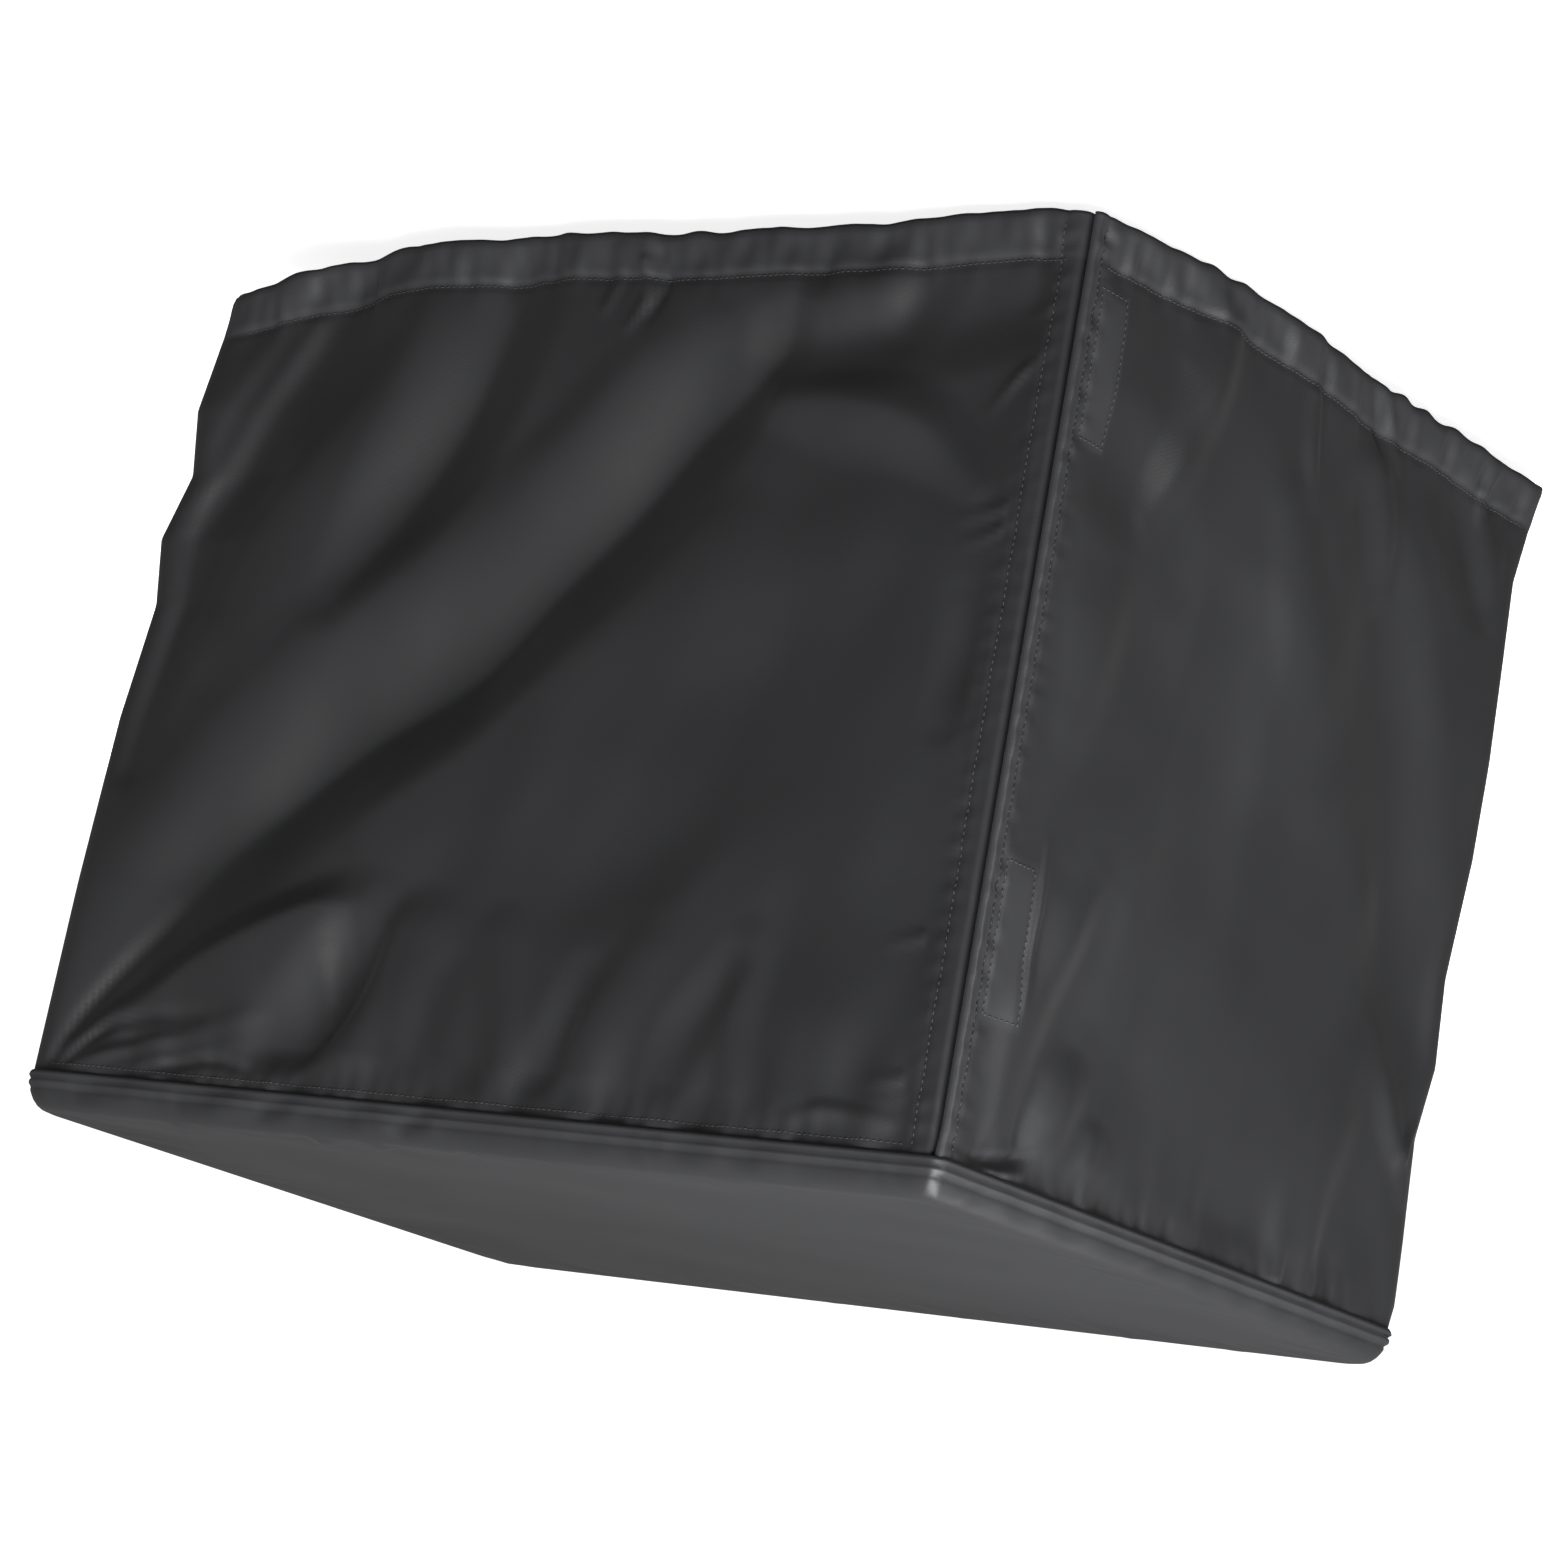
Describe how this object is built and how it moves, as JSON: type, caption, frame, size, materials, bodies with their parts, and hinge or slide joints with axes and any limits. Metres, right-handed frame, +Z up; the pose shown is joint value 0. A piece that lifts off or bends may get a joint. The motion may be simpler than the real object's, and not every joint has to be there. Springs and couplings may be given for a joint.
{
  "type": "generator cover",
  "caption": "Fitted cover of coated black cloth, box-shaped and open below, with a hook-and-loop corner opening and soft hanging folds.",
  "frame": {"origin": "the middle of the top panel's underside, where the covered machine carries the cover", "axes": "+X along the wide walls, away from the corner opening; +Y from the wide wall that shows to the hidden one; +Z up, so the open hem is below"},
  "size_m": [0.6843, 0.4863, 0.5355],
  "materials": {
    "top_cloth": "satin coated woven polyester, charcoal black",
    "front_cloth": "satin coated woven polyester, charcoal black",
    "left_cloth": "satin coated woven polyester, charcoal black",
    "back_cloth": "satin coated woven polyester, charcoal black",
    "right_cloth": "satin coated woven polyester, charcoal black",
    "tape": "matt hook-and-loop tape, black"
  },
  "bodies": {
    "root": {"top_panel": "top_cloth", "front_wall": "front_cloth", "left_wall": "left_cloth", "back_wall": "back_cloth", "right_wall": "right_cloth", "hook_tape_upper": "tape", "hook_tape_lower": "tape", "loop_tape_upper": "tape", "loop_tape_lower": "tape"}
  },
  "joints": []
}
